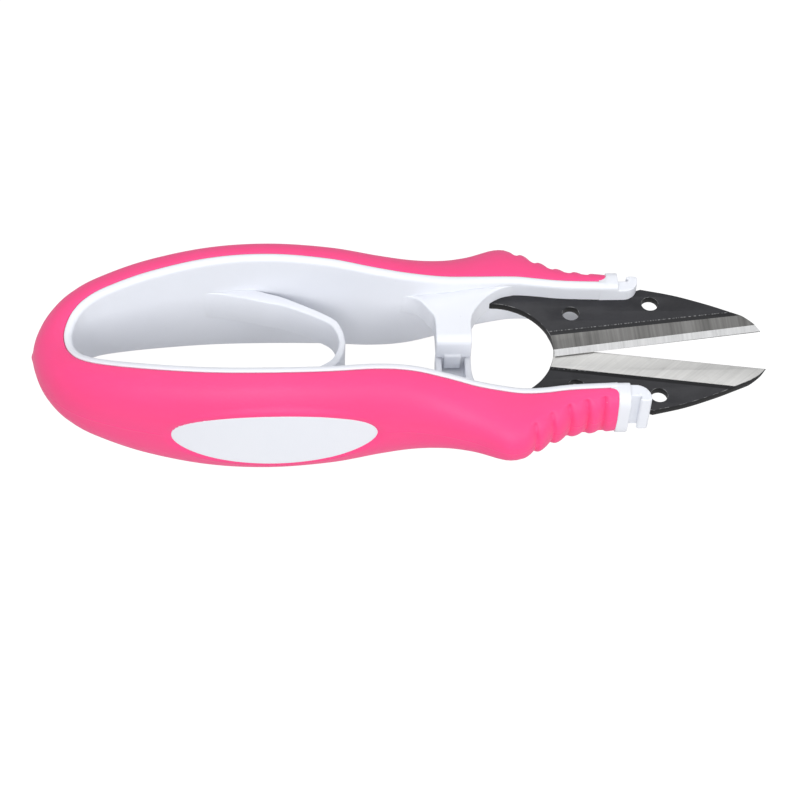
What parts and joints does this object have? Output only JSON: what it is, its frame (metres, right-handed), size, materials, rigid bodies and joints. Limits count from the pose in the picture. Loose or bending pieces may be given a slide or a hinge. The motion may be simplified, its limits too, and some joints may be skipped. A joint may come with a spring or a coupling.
{
  "type": "thread snips",
  "caption": "Spring-back thread snips: a looped handle with soft grips, finger grooves and oval windows carries two short crossing blades.",
  "frame": {"origin": "middle of the bounding box: half way along the snips, on the plane that divides the two arms and the plane between the two blades", "axes": "+X from the rear of the loop to the blade tips, +Y towards the upper arm (the squeezing direction), +Z across the width of the arms, up when the snips lie on their side"},
  "size_m": [0.125, 0.043, 0.0234],
  "materials": {
    "white_plastic": "satin moulded white plastic",
    "soft_grip": "soft pink overmoulded rubber, satin",
    "blade_steel": "black-coated steel with a ground bright edge"
  },
  "bodies": {
    "lower_half": {"rear_bend": "white_plastic", "rear_grip": "soft_grip", "leaf_spring": "white_plastic", "lower_arm": "white_plastic", "lower_grip": "soft_grip", "lower_window": "white_plastic", "lower_nose": "white_plastic", "lower_post": "white_plastic", "lower_blade": "blade_steel"},
    "upper_half": {"upper_arm": "white_plastic", "upper_grip": "soft_grip", "upper_window": "white_plastic", "upper_nose": "white_plastic", "upper_post": "white_plastic", "upper_blade": "blade_steel"}
  },
  "joints": [
    {"name": "squeeze", "type": "hinge", "parent": "lower_half", "child": "upper_half", "pos_m": [-0.05452, 0, 0], "axis": [0, 0, -1], "range_deg": [0, 4.4], "stiffness_Nm_per_rad": 5, "deforming": ["leaf_spring"]}
  ]
}
